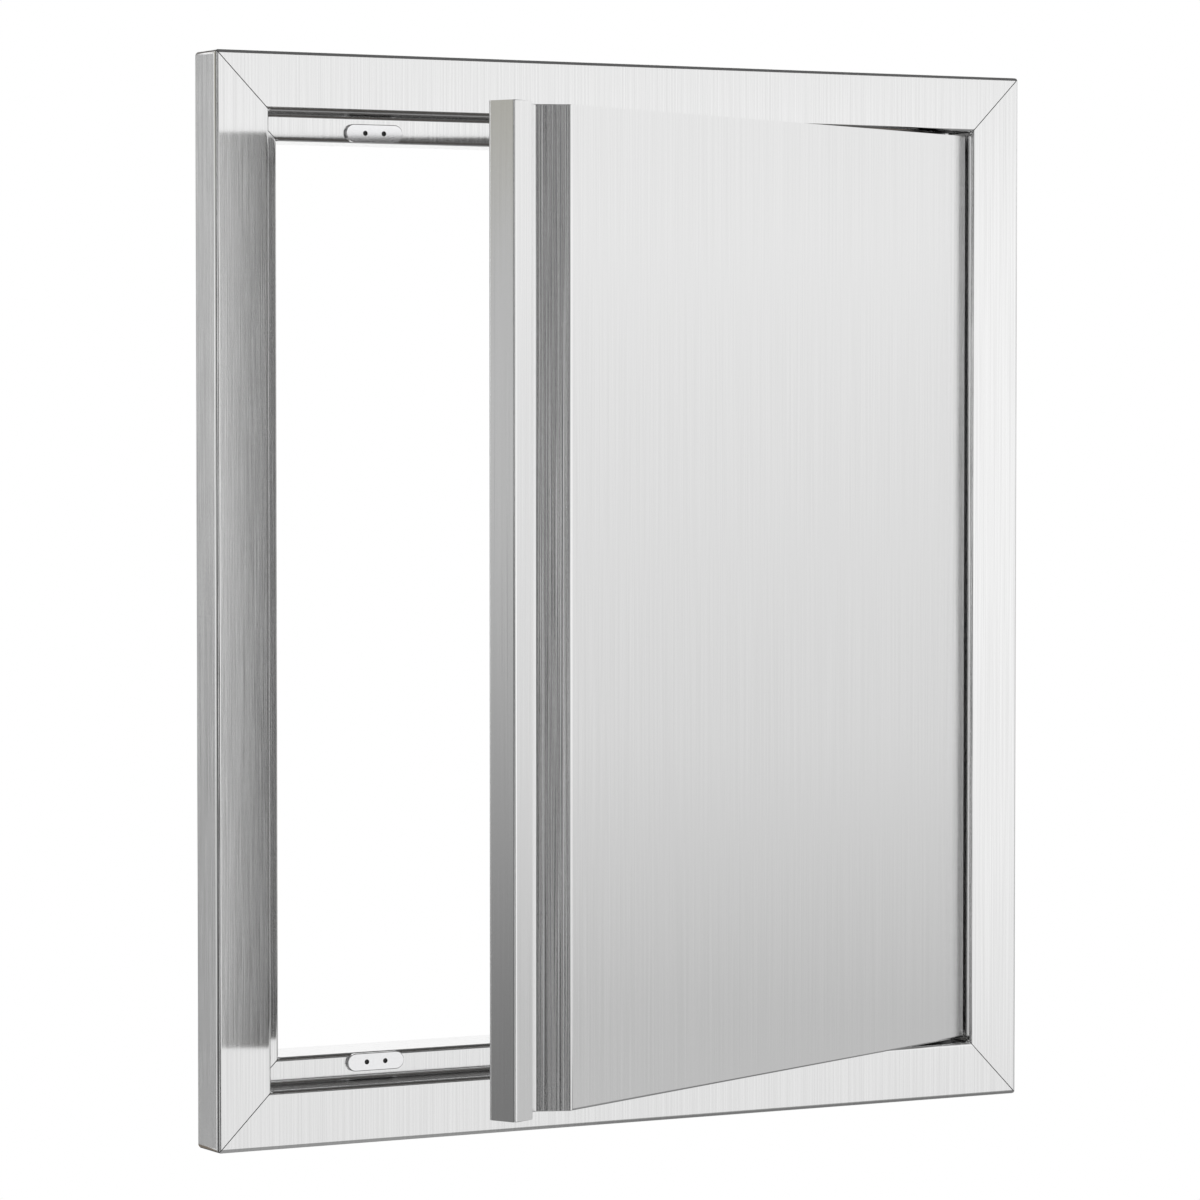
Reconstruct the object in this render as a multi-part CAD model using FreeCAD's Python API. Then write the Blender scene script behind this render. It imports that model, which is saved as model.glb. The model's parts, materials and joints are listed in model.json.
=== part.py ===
import FreeCAD, Part
import math
import os

# Access door for a barbecue island: a mitred frame of folded stainless sheet that sits in a
# cut-out of the island's face, and a double-skinned door hung on its right side on two pins.
# The origin is the middle of the cut-out, on the plane of the island's face.
# X runs to the right, Y into the island, Z up. The door stands open, as it is displayed.

# Frame: one folded section, mitred at four corners
FRAME_WIDTH = 440.0
FRAME_HEIGHT = 508.0
FRAME_SHEET = 1.0
FRAME_BEND = 1.0        # inside radius of each fold
FACE_WIDTH = 27.5       # outer edge to the door's rebate
SIDE_DEPTH = 22.0       # front face to the island's face
REBATE_DEPTH = 19.0     # front face to the ledge that stops the door
LEDGE_WIDTH = 12.8
FLANGE_DEPTH = 31.0     # ledge to the back edge of the flange inside the cut-out
MITRE_GAP = 0.2         # hairline left open at each mitre
RELIEF_RADIUS = 0.9     # corner relief where two folds meet

# Screw holes in the flange, from inside the opening into the island's framing
SCREW_HOLE_RADIUS = 2.75
SCREW_DEPTH = 14.0      # behind the island's face
SCREW_SPACING = 280.0

# Corner gussets, welded behind the face across each mitre
GUSSET_SHEET = 1.5
GUSSET_ARM = 42.0
GUSSET_INSET = 3.0      # from the frame's outer edge
GUSSET_CLEARANCE = 0.5  # to the head of the lower pivot pin

# Door: place and sheet
SIDE_GAP = 2.3
END_GAP = 1.9
DOOR_SHEET = 1.0
DOOR_BEND = 0.2
SKIN_DEPTH = 13.0       # front of the panel to the back edge of its returns
OPEN_ANGLE = 25.5       # degrees from shut

# Finger recess and lip along the door's free edge
LIP_WIDTH = 13.3
LIP_PROUD = 2.0
MOUTH_WIDTH = 31.9
RECESS_SLOPE = 46.5     # degrees that the recess falls back from the panel
HEM_LENGTH = 7.0

# Back liner of the door
LINER_SHEET = 1.0
LINER_FLANGE = 8.0
LINER_OVERLAP = 15.0    # on the back of the recess's floor

# Pivot pins
PIVOT_FROM_EDGE = 10.0
PIN_RADIUS = 2.5
RUNNING_CLEARANCE = 0.05
PIN_CHAMFER = 0.6
PIVOT_PLATE_LENGTH = 26.0
PIVOT_PLATE_SHEET = 2.5
PIVOT_PLATE_WIDTH = 15.5
BUSH_WALL = 1.0
BUSH_FLANGE_RADIUS = 5.0
BUSH_FLANGE = 0.8
UPPER_BUSH_LENGTH = 5.0
PIN_HEAD_RADIUS = 5.0
PIN_HEAD = 1.5
WASHER_PLAY = 0.1
LOWER_PIN_REACH = 7.5   # into the door
LOWER_BLOCK_HEIGHT = 9.0
BLOCK_LENGTH = 18.0
BLOCK_DEPTH = 11.0

# Sprung upper pin, in a bracket inside the door
PIN_TRAVEL = 6.0
PIN_ENGAGEMENT = 4.5    # into the bush in the top rail
HOLE_PLAY = 0.3
BRACKET_SHEET = 1.2
BRACKET_BEND = 0.5
BRACKET_HEIGHT = 36.0
BRACKET_EAR = 10.5
BRACKET_WIDTH = 15.0
COLLAR_RIM = 1.5
COLLAR = 1.2
COLLAR_PLAY = 0.3       # to the back of the bracket
SPRING_WIRE_RADIUS = 0.4
SPRING_PLAY = 0.5       # round the pin
SPRING_TURNS = 6.0
SPRING_RUNS = 12        # straight runs in each turn
SPRING_WIRE_SIDES = 8
PULL_RADIUS = 1.5
PULL_DROP = 4.5         # below the bracket's lower ear
PULL_REACH = 3.4        # out of the back of the liner
PIN_FOOT = 3.0          # below the pull

# Magnetic catches on the ledge, above and below the opening
CATCH_FROM_EDGE = 90.0
PLATE_LENGTH = 29.5
PLATE_HEIGHT = 8.4
PLATE_SHEET = 1.7
PLATE_INSET = 0.4       # from the ledge's inner edge
MAGNET_LENGTH = 25.0
MAGNET_HEIGHT = 6.0
MAGNET_SHEET = 1.4
MAGNET_INSET = 2.1      # from the ledge's inner edge
RIVET_SPACING = 9.7
RIVET_RADIUS = 1.2
RIVET_RECESS = 0.9      # below the plate's front
RIVET_HEAD_RADIUS = 2.0
RIVET_HEAD = 0.5

# Strike plates on the door's back
STRIKE_LENGTH = 36.0
STRIKE_HEIGHT = 8.0
STRIKE_CLEARANCE = 0.3
STRIKE_CORNER = 1.5
STRIKE_RIVET_SPACING = 24.0
STRIKE_RIVET_RADIUS = 2.0
STRIKE_TAIL = 1.0       # inside the liner

OVERCUT = 1.0           # extra length of a tool that cuts right through
SAME_POINT = 1e-6       # points no further apart than this are one

# Places that follow from the sizes
FRONT = -SIDE_DEPTH
LEDGE_FRONT = FRONT + REBATE_DEPTH
LEDGE_BACK = LEDGE_FRONT + FRAME_SHEET
FLANGE_END = LEDGE_FRONT + FLANGE_DEPTH
HALF_WIDTH = FRAME_WIDTH / 2
HALF_HEIGHT = FRAME_HEIGHT / 2
REBATE_X = HALF_WIDTH - FACE_WIDTH
REBATE_Z = HALF_HEIGHT - FACE_WIDTH
OPENING_X = REBATE_X - LEDGE_WIDTH
OPENING_Z = REBATE_Z - LEDGE_WIDTH
DOOR_RIGHT = REBATE_X - SIDE_GAP
DOOR_LEFT = -DOOR_RIGHT
DOOR_TOP = REBATE_Z - END_GAP
SKIN_BACK = FRONT + SKIN_DEPTH
LINER_BACK = SKIN_BACK + LINER_SHEET
RECESS_FLOOR = SKIN_BACK - DOOR_SHEET
PANEL_LEFT = DOOR_LEFT + LIP_WIDTH + MOUTH_WIDTH
SLOPE = math.radians(RECESS_SLOPE)
SLOPE_RUN = (RECESS_FLOOR - FRONT) / math.tan(SLOPE)
FLOOR_RIGHT = PANEL_LEFT - SLOPE_RUN
COLLAR_RADIUS = PIN_RADIUS + COLLAR_RIM
PIVOT_X = DOOR_RIGHT - PIVOT_FROM_EDGE
PIVOT_Y = FRONT + DOOR_SHEET + BRACKET_SHEET + COLLAR_PLAY + COLLAR_RADIUS
BUSH_RADIUS = PIN_RADIUS + RUNNING_CLEARANCE + BUSH_WALL
SPRING_RADIUS = PIN_RADIUS + SPRING_PLAY + SPRING_WIRE_RADIUS
GUSSET_EDGE = FACE_WIDTH - FRAME_SHEET - PIVOT_PLATE_SHEET - PIN_HEAD - GUSSET_CLEARANCE
CATCH_X = CATCH_FROM_EDGE - HALF_WIDTH
CATCH_Z = OPENING_Z + PLATE_INSET + PLATE_HEIGHT / 2
PLATE_FRONT = LEDGE_FRONT - PLATE_SHEET
STRIKE_BACK = PLATE_FRONT - STRIKE_CLEARANCE

X_AXIS = FreeCAD.Vector(1, 0, 0)
Y_AXIS = FreeCAD.Vector(0, 1, 0)
Z_AXIS = FreeCAD.Vector(0, 0, 1)


def vec(x, y, z):
    return FreeCAD.Vector(x, y, z)


def box(x, y, z):
    """A block between two limits on each axis."""
    return Part.makeBox(x[1] - x[0], y[1] - y[0], z[1] - z[0], vec(x[0], y[0], z[0]))


def rod(radius, start, end):
    """A round bar from one point to another."""
    along = end - start
    return Part.makeCylinder(radius, along.Length, start, along)


def prism(points, along):
    """A flat outline of straight sides, pushed along a vector."""
    wire = Part.makePolygon(points + points[:1])
    return Part.Face(wire).extrude(along)


def folded_sheet(corners, sheet, bend, to_space, along):
    """A folded sheet of one section, pushed along a vector.

    The corners are the sharp corners of the section's left side, in the plane; the metal lies
    to the right of the way they run. Each fold gets the inside radius bend.
    """
    runs = [FreeCAD.Vector(b[0] - a[0], b[1] - a[1], 0).normalize() for a, b in zip(corners, corners[1:])]

    def right_of(run):
        return FreeCAD.Vector(run.y, -run.x, 0)

    left_side, right_side = [], []

    def add_line(side, start, end):
        if (end - start).Length > SAME_POINT:
            side.append(("line", start, end))

    start_left = FreeCAD.Vector(corners[0][0], corners[0][1], 0)
    start_right = start_left + right_of(runs[0]) * sheet
    first_left, first_right = start_left, start_right
    for corner, run_in, run_out in zip(corners[1:-1], runs, runs[1:]):
        point = FreeCAD.Vector(corner[0], corner[1], 0)
        turn = run_in.cross(run_out).z
        angle = abs(math.atan2(turn, run_in.dot(run_out)))
        radius_left = bend if turn > 0 else bend + sheet
        radius_right = bend + sheet if turn > 0 else bend
        tangent = radius_left * math.tan(angle / 2)
        enter, leave = point - run_in * tangent, point + run_out * tangent
        towards_centre = right_of(run_in) * (-1 if turn > 0 else 1)
        centre = enter + towards_centre * radius_left
        outwards = (point - centre).normalize()
        add_line(left_side, start_left, enter)
        left_side.append(("arc", enter, centre + outwards * radius_left, leave))
        enter_right = enter + right_of(run_in) * sheet
        leave_right = leave + right_of(run_out) * sheet
        add_line(right_side, start_right, enter_right)
        right_side.append(("arc", enter_right, centre + outwards * radius_right, leave_right))
        start_left, start_right = leave, leave_right
    end_left = FreeCAD.Vector(corners[-1][0], corners[-1][1], 0)
    end_right = end_left + right_of(runs[-1]) * sheet
    add_line(left_side, start_left, end_left)
    add_line(right_side, start_right, end_right)

    backwards = [(piece[0],) + piece[:0:-1] for piece in reversed(right_side)]
    outline = left_side + [("line", end_left, end_right)] + backwards + [("line", first_right, first_left)]
    edges = []
    for kind, *points in outline:
        placed = [to_space(p.x, p.y) for p in points]
        if kind == "line":
            edges.append(Part.makeLine(*placed))
        else:
            edges.append(Part.Arc(*placed).toShape())
    return Part.Face(Part.Wire(edges)).extrude(along)


def obround(length, height, thickness, centre):
    """A plate with round ends, lying in the XZ plane, from its front centre backwards."""
    reach = (length - height) / 2
    low = centre - vec(reach, 0, 0)
    high = centre + vec(reach, 0, 0)
    z = (centre.z - height / 2, centre.z + height / 2)
    middle = box((low.x, high.x), (centre.y, centre.y + thickness), z)
    ends = [rod(height / 2, end, end + Y_AXIS * thickness) for end in (low, high)]
    return middle.fuse(ends).removeSplitter()


def turned(profile, base):
    """A round piece about a vertical axis, from an outline of (radius, height) points."""
    points = [base + vec(r, 0, h) for r, h in profile]
    face = Part.Face(Part.makePolygon(points + points[:1]))
    return face.revolve(base, Z_AXIS, 360)


def edge_round(x_low, x_high, y, z, radius, y_inwards, z_inwards):
    """The sliver that comes off a sharp edge along X to leave it rounded."""
    centre_y, centre_z = y + y_inwards * radius, z + z_inwards * radius
    y_range = sorted((y - y_inwards * OVERCUT, centre_y))
    z_range = sorted((z - z_inwards * OVERCUT, centre_z))
    block = box((x_low, x_high), y_range, z_range)
    start = vec(x_low - OVERCUT, centre_y, centre_z)
    return block.cut(rod(radius, start, vec(x_high + OVERCUT, centre_y, centre_z)))


def frame_section():
    """The frame's section: (distance in from the outer edge, Y), from the flange's back edge round
    the ledge, the rebate, the face and the outer side to the island's face."""
    ledge_inner = FACE_WIDTH + LEDGE_WIDTH
    return [
        (ledge_inner, FLANGE_END),
        (ledge_inner, LEDGE_FRONT),
        (FACE_WIDTH, LEDGE_FRONT),
        (FACE_WIDTH, FRONT),
        (0, FRONT),
        (0, 0),
    ]


def frame_member(to_space, along, mitre_outline):
    """A length of the frame's section, cut back to its mitres."""
    member = folded_sheet(frame_section(), FRAME_SHEET, FRAME_BEND, to_space, along)
    y_low = FRONT - OVERCUT
    mitres = prism([vec(x, y_low, z) for x, z in mitre_outline], Y_AXIS * (FLANGE_END + OVERCUT - y_low))
    member = member.common(mitres)
    return member.cut(corner_reliefs())


def corner_reliefs():
    """Small round notches where the folds of two members meet."""
    notches = []
    for side in (-1, 1):
        for end in (-1, 1):
            face_corner = vec(side * REBATE_X, FRONT - OVERCUT, end * REBATE_Z)
            face_depth = OVERCUT + FRAME_SHEET + FRAME_BEND
            notches.append(rod(RELIEF_RADIUS, face_corner, face_corner + Y_AXIS * face_depth))
            ledge_corner = vec(side * OPENING_X, LEDGE_FRONT - OVERCUT, end * OPENING_Z)
            notches.append(rod(RELIEF_RADIUS, ledge_corner, ledge_corner + Y_AXIS * face_depth))
    return notches


def mitre_shift():
    """How far a mitre's hairline sets each member back along its own length."""
    return MITRE_GAP / 2 * math.sqrt(2)


def rail_outline(end):
    """The mitred outline of the top (1) or bottom (-1) rail, as X and Z."""
    depth = FACE_WIDTH + LEDGE_WIDTH + OVERCUT
    outer, inner = HALF_WIDTH + OVERCUT - mitre_shift(), HALF_WIDTH - depth - mitre_shift()
    outer_z, inner_z = end * (HALF_HEIGHT + OVERCUT), end * (HALF_HEIGHT - depth)
    return [(-outer, outer_z), (outer, outer_z), (inner, inner_z), (-inner, inner_z)]


def stile_outline(side):
    """The mitred outline of the latch (-1) or hinge (1) stile, as X and Z."""
    depth = FACE_WIDTH + LEDGE_WIDTH + OVERCUT
    outer, inner = HALF_HEIGHT + OVERCUT - mitre_shift(), HALF_HEIGHT - depth - mitre_shift()
    outer_x, inner_x = side * (HALF_WIDTH + OVERCUT), side * (HALF_WIDTH - depth)
    return [(outer_x, -outer), (outer_x, outer), (inner_x, inner), (inner_x, -inner)]


def pivot_hole(end, radius):
    """A vertical cut on the door's axis, through the top (1) or bottom (-1) rebate."""
    start = vec(PIVOT_X, PIVOT_Y, end * (REBATE_Z - OVERCUT))
    return rod(radius, start, start + Z_AXIS * end * (2 * OVERCUT + FRAME_SHEET))


def catch_rivet_places(end):
    """The two rivets of the top (1) or bottom (-1) catch, as X and Z."""
    return [(CATCH_X + step * RIVET_SPACING / 2, end * CATCH_Z) for step in (-1, 1)]


def catch_holes(end, radius):
    holes = []
    for x, z in catch_rivet_places(end):
        start = vec(x, PLATE_FRONT - OVERCUT, z)
        holes.append(rod(radius, start, vec(x, LEDGE_BACK + MAGNET_SHEET + OVERCUT, z)))
    return holes


def frame_rail(end):
    def to_space(inwards, y):
        return vec(-HALF_WIDTH, y, end * (HALF_HEIGHT - inwards))

    rail = frame_member(to_space, X_AXIS * FRAME_WIDTH, rail_outline(end))
    hole_radius = BUSH_RADIUS if end > 0 else PIN_RADIUS
    return rail.cut([pivot_hole(end, hole_radius)] + catch_holes(end, RIVET_RADIUS))


def frame_stile(side):
    def to_space(inwards, y):
        return vec(side * (HALF_WIDTH - inwards), y, -HALF_HEIGHT)

    stile = frame_member(to_space, Z_AXIS * FRAME_HEIGHT, stile_outline(side))
    holes = []
    for step in (-1, 1):
        start = vec(side * (OPENING_X - OVERCUT), SCREW_DEPTH, step * SCREW_SPACING / 2)
        holes.append(rod(SCREW_HOLE_RADIUS, start, start + X_AXIS * side * (2 * OVERCUT + FRAME_SHEET)))
    return stile.cut(holes)


def corner_gussets():
    """Four L-shaped plates against the back of the face."""
    y = FRONT + FRAME_SHEET
    gussets = []
    for side in (-1, 1):
        for end in (-1, 1):
            outline = [
                (GUSSET_INSET, GUSSET_INSET),
                (GUSSET_INSET + GUSSET_ARM, GUSSET_INSET),
                (GUSSET_INSET + GUSSET_ARM, GUSSET_EDGE),
                (GUSSET_EDGE, GUSSET_EDGE),
                (GUSSET_EDGE, GUSSET_INSET + GUSSET_ARM),
                (GUSSET_INSET, GUSSET_INSET + GUSSET_ARM),
            ]
            points = [vec(side * (HALF_WIDTH - a), y, end * (HALF_HEIGHT - b)) for a, b in outline]
            gussets.append(prism(points, Y_AXIS * GUSSET_SHEET))
    return gussets


def pivot_plate(end):
    """A stiff plate behind the rebate, that carries the top bush or the bottom pin."""
    z = sorted((end * (REBATE_Z + FRAME_SHEET), end * (REBATE_Z + FRAME_SHEET + PIVOT_PLATE_SHEET)))
    y_front = FRONT + FRAME_SHEET + FRAME_BEND
    reach = PIVOT_PLATE_LENGTH / 2
    plate = box((PIVOT_X - reach, PIVOT_X + reach), (y_front, y_front + PIVOT_PLATE_WIDTH), z)
    radius = BUSH_RADIUS if end > 0 else PIN_RADIUS
    start = vec(PIVOT_X, PIVOT_Y, z[0] - OVERCUT)
    return plate.cut(rod(radius, start, vec(PIVOT_X, PIVOT_Y, z[1] + OVERCUT)))


def upper_pivot_bush():
    bore = PIN_RADIUS + RUNNING_CLEARANCE
    outline = [
        (bore, -BUSH_FLANGE),
        (BUSH_FLANGE_RADIUS, -BUSH_FLANGE),
        (BUSH_FLANGE_RADIUS, 0),
        (BUSH_RADIUS, 0),
        (BUSH_RADIUS, UPPER_BUSH_LENGTH),
        (bore, UPPER_BUSH_LENGTH),
    ]
    return turned(outline, vec(PIVOT_X, PIVOT_Y, REBATE_Z))


def lower_pivot_pin():
    """A headed pin that stands up out of the bottom rail; heights are from the rebate."""
    seat = -(FRAME_SHEET + PIVOT_PLATE_SHEET)
    tip = END_GAP + LOWER_PIN_REACH
    outline = [
        (0, seat - PIN_HEAD),
        (PIN_HEAD_RADIUS, seat - PIN_HEAD),
        (PIN_HEAD_RADIUS, seat),
        (PIN_RADIUS, seat),
        (PIN_RADIUS, tip - PIN_CHAMFER),
        (PIN_RADIUS - PIN_CHAMFER, tip),
        (0, tip),
    ]
    return turned(outline, vec(PIVOT_X, PIVOT_Y, -REBATE_Z))


def lower_thrust_washer():
    thickness = END_GAP - BUSH_FLANGE - WASHER_PLAY
    bore = PIN_RADIUS + RUNNING_CLEARANCE
    outline = [(bore, 0), (BUSH_FLANGE_RADIUS, 0), (BUSH_FLANGE_RADIUS, thickness), (bore, thickness)]
    return turned(outline, vec(PIVOT_X, PIVOT_Y, -REBATE_Z))


def catch_plate(end):
    plate = obround(PLATE_LENGTH, PLATE_HEIGHT, PLATE_SHEET, vec(CATCH_X, PLATE_FRONT, end * CATCH_Z))
    return plate.cut(catch_holes(end, RIVET_RADIUS))


def catch_magnet(end):
    """A bar magnet behind the ledge, held by the two rivets."""
    z = sorted((end * (OPENING_Z + MAGNET_INSET), end * (OPENING_Z + MAGNET_INSET + MAGNET_HEIGHT)))
    reach = MAGNET_LENGTH / 2
    magnet = box((CATCH_X - reach, CATCH_X + reach), (LEDGE_BACK, LEDGE_BACK + MAGNET_SHEET), z)
    return magnet.cut(catch_holes(end, RIVET_RADIUS))


def catch_rivets(end):
    """Rivets whose heads lie on the magnet's back, and whose ends stop below the plate's front."""
    front = PLATE_FRONT + RIVET_RECESS
    back = LEDGE_BACK + MAGNET_SHEET
    rivets = []
    for x, z in catch_rivet_places(end):
        shank = rod(RIVET_RADIUS, vec(x, front, z), vec(x, back, z))
        head = rod(RIVET_HEAD_RADIUS, vec(x, back, z), vec(x, back + RIVET_HEAD, z))
        rivets.append(shank.fuse(head))
    return rivets


def skin_section():
    """The door skin's section, from the hinge-side return over the panel, down the recess, up the
    free edge and round the lip to its hem."""
    lip_inside = FRONT - LIP_PROUD + DOOR_SHEET
    hem_turn = DOOR_LEFT + LIP_WIDTH - DOOR_SHEET
    hem_back = lip_inside + 2 * DOOR_BEND
    inside_edge = DOOR_LEFT + DOOR_SHEET
    return [
        (DOOR_RIGHT, SKIN_BACK),
        (DOOR_RIGHT, FRONT),
        (PANEL_LEFT, FRONT),
        (FLOOR_RIGHT, RECESS_FLOOR),
        (inside_edge, RECESS_FLOOR),
        (inside_edge, lip_inside),
        (hem_turn, lip_inside),
        (hem_turn, hem_back),
        (hem_turn - HEM_LENGTH, hem_back),
    ]


def skin_return(end):
    """The panel's top (1) or bottom (-1) return, trimmed to the slope of the recess."""
    half = DOOR_SHEET / 2
    right = DOOR_RIGHT - half
    y_front = FRONT + half

    def slope_x(y):
        return PANEL_LEFT - (y - FRONT) / math.tan(SLOPE) + half / math.sin(SLOPE)

    z = min(end * DOOR_TOP, end * (DOOR_TOP - DOOR_SHEET))
    outline = [
        vec(right, y_front, z),
        vec(right, SKIN_BACK, z),
        vec(slope_x(SKIN_BACK), SKIN_BACK, z),
        vec(slope_x(y_front), y_front, z),
    ]
    return prism(outline, Z_AXIS * DOOR_SHEET)


def door_skin():
    skin = folded_sheet(skin_section(), DOOR_SHEET, DOOR_BEND, lambda x, y: vec(x, y, -DOOR_TOP),
                        Z_AXIS * 2 * DOOR_TOP)
    skin = skin.fuse([skin_return(1), skin_return(-1)])
    radius = DOOR_BEND + DOOR_SHEET
    right = DOOR_RIGHT + OVERCUT
    cuts = [edge_round(PANEL_LEFT, right, FRONT, end * DOOR_TOP, radius, 1, -end) for end in (-1, 1)]
    cuts.append(door_pivot_hole(1, PIN_RADIUS + HOLE_PLAY))
    cuts.append(door_pivot_hole(-1, BUSH_RADIUS))
    return skin.cut(cuts).removeSplitter()


def door_pivot_hole(end, radius):
    start = vec(PIVOT_X, PIVOT_Y, end * (DOOR_TOP + OVERCUT))
    return rod(radius, start, start - Z_AXIS * end * (2 * OVERCUT + DOOR_SHEET))


def door_liner():
    """The back sheet, folded forwards inside the returns."""
    left = FLOOR_RIGHT - LINER_OVERLAP
    right = DOOR_RIGHT - DOOR_SHEET
    top = DOOR_TOP - DOOR_SHEET
    flange_front = LINER_BACK - LINER_FLANGE
    section = [(left, LINER_BACK), (right, LINER_BACK), (right, flange_front)]
    liner = folded_sheet(section, LINER_SHEET, DOOR_BEND, lambda x, y: vec(x, y, -top), Z_AXIS * 2 * top)
    flange_left = PANEL_LEFT + LINER_SHEET
    flange_right = PIVOT_X - BLOCK_LENGTH
    flanges, cuts = [], []
    for end in (-1, 1):
        z = sorted((end * top, end * (top - LINER_SHEET)))
        flanges.append(box((flange_left, flange_right), (flange_front, LINER_BACK), z))
        radius = DOOR_BEND + LINER_SHEET
        cuts.append(edge_round(left - OVERCUT, right + OVERCUT, LINER_BACK, end * top, radius, -1, -end))
    liner = liner.fuse(flanges)
    slot_radius = PULL_RADIUS + HOLE_PLAY
    slot_z = (pull_height() - PIN_TRAVEL, pull_height())
    for z in slot_z:
        start = vec(PIVOT_X, SKIN_BACK - OVERCUT, z)
        cuts.append(rod(slot_radius, start, vec(PIVOT_X, LINER_BACK + OVERCUT, z)))
    slot_x = (PIVOT_X - slot_radius, PIVOT_X + slot_radius)
    cuts.append(box(slot_x, (SKIN_BACK - OVERCUT, LINER_BACK + OVERCUT), slot_z))
    for x, z in strike_rivet_places():
        cuts.append(rod(STRIKE_RIVET_RADIUS, vec(x, SKIN_BACK - OVERCUT, z), vec(x, STRIKE_BACK, z)))
    return liner.cut(cuts).removeSplitter()


def lower_hinge_block():
    """A block in the door's bottom corner, bored for the bush."""
    bottom = -(DOOR_TOP - DOOR_SHEET)
    right = PIVOT_X + PIVOT_FROM_EDGE - DOOR_SHEET - LINER_SHEET - HOLE_PLAY
    top = bottom + LOWER_BLOCK_HEIGHT
    y_front = FRONT + DOOR_SHEET
    block = box((right - BLOCK_LENGTH, right), (y_front, y_front + BLOCK_DEPTH), (bottom, top))
    start = vec(PIVOT_X, PIVOT_Y, bottom - OVERCUT)
    bore = rod(BUSH_RADIUS, start, vec(PIVOT_X, PIVOT_Y, top + OVERCUT))
    return block.cut(bore)


def lower_pivot_bush():
    bore = PIN_RADIUS + RUNNING_CLEARANCE
    length = DOOR_SHEET + LOWER_BLOCK_HEIGHT
    outline = [
        (bore, -BUSH_FLANGE),
        (BUSH_FLANGE_RADIUS, -BUSH_FLANGE),
        (BUSH_FLANGE_RADIUS, 0),
        (BUSH_RADIUS, 0),
        (BUSH_RADIUS, length),
        (bore, length),
    ]
    return turned(outline, vec(PIVOT_X, PIVOT_Y, -DOOR_TOP))


def bracket_top():
    return DOOR_TOP - DOOR_SHEET


def bracket_bottom():
    return bracket_top() - BRACKET_HEIGHT


def pull_height():
    return bracket_bottom() - PULL_DROP


def upper_pin_bracket():
    """A bracket with two ears that guide the sprung pin."""
    y_front = FRONT + DOOR_SHEET
    y_back = y_front + BRACKET_EAR
    section = [
        (y_back, bracket_bottom()),
        (y_front, bracket_bottom()),
        (y_front, bracket_top()),
        (y_back, bracket_top()),
    ]
    left = PIVOT_X - BRACKET_WIDTH / 2
    bracket = folded_sheet(section, BRACKET_SHEET, BRACKET_BEND, lambda y, z: vec(left, y, z),
                           X_AXIS * BRACKET_WIDTH)
    start = vec(PIVOT_X, PIVOT_Y, bracket_bottom() - OVERCUT)
    end = vec(PIVOT_X, PIVOT_Y, bracket_top() + OVERCUT)
    bore = rod(PIN_RADIUS + RUNNING_CLEARANCE, start, end)
    return bracket.cut(bore)


def sprung_hinge_pin():
    """The upper pin; heights are from the rebate."""
    foot = pull_height() - PIN_FOOT - REBATE_Z
    outline = [
        (0, foot),
        (PIN_RADIUS, foot),
        (PIN_RADIUS, PIN_ENGAGEMENT - PIN_CHAMFER),
        (PIN_RADIUS - PIN_CHAMFER, PIN_ENGAGEMENT),
        (0, PIN_ENGAGEMENT),
    ]
    return turned(outline, vec(PIVOT_X, PIVOT_Y, REBATE_Z)).cut(pin_pull())


def pin_pull():
    """A small pin set across the foot of the upper pin, that is pulled down to free the door."""
    start = vec(PIVOT_X, PIVOT_Y, pull_height())
    return rod(PULL_RADIUS, start, vec(PIVOT_X, LINER_BACK + PULL_REACH, pull_height()))


def pin_collar():
    """The ring that the spring pushes up against the bracket's top ear."""
    top = bracket_top() - BRACKET_SHEET
    outline = [(PIN_RADIUS, 0), (COLLAR_RADIUS, 0), (COLLAR_RADIUS, COLLAR), (PIN_RADIUS, COLLAR)]
    return turned(outline, vec(PIVOT_X, PIVOT_Y, top - COLLAR))


def pin_spring():
    """A helix of wire between the bracket's lower ear and the collar, in short straight runs."""
    bottom = bracket_bottom() + BRACKET_SHEET + SPRING_WIRE_RADIUS
    top = bracket_top() - BRACKET_SHEET - COLLAR - SPRING_WIRE_RADIUS
    runs = int(SPRING_TURNS * SPRING_RUNS)
    points = []
    for run in range(runs + 1):
        angle = 2 * math.pi * run / SPRING_RUNS
        across = vec(math.cos(angle), math.sin(angle), 0) * SPRING_RADIUS
        points.append(vec(PIVOT_X, PIVOT_Y, bottom + (top - bottom) * run / runs) + across)
    start = points[0]
    along = (points[1] - start).normalize()
    outwards = along.cross(Z_AXIS).normalize()
    upwards = outwards.cross(along)
    section = []
    for side in range(SPRING_WIRE_SIDES):
        angle = 2 * math.pi * side / SPRING_WIRE_SIDES
        section.append(start + (outwards * math.cos(angle) + upwards * math.sin(angle)) * SPRING_WIRE_RADIUS)
    outline = Part.makePolygon(section + section[:1])
    mitred_corners = 1
    return Part.makePolygon(points).makePipeShell([outline], True, False, mitred_corners)


def strike_rivet_places(end=None):
    ends = (end,) if end else (-1, 1)
    return [(CATCH_X + step * STRIKE_RIVET_SPACING / 2, e * CATCH_Z) for e in ends for step in (-1, 1)]


def strike_plate(end):
    """A steel plate on the liner that meets the catch when the door is shut."""
    reach = STRIKE_LENGTH / 2
    half = STRIKE_HEIGHT / 2
    plate = box((CATCH_X - reach, CATCH_X + reach), (LINER_BACK, STRIKE_BACK),
                (end * CATCH_Z - half, end * CATCH_Z + half))
    corner_edges = [edge for edge in plate.Edges if edge.Vertexes[0].Y != edge.Vertexes[1].Y]
    plate = plate.makeFillet(STRIKE_CORNER, corner_edges)
    cuts = []
    for x, z in strike_rivet_places(end):
        start = vec(x, LINER_BACK - OVERCUT, z)
        cuts.append(rod(STRIKE_RIVET_RADIUS, start, vec(x, STRIKE_BACK + OVERCUT, z)))
    return plate.cut(cuts)


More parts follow.
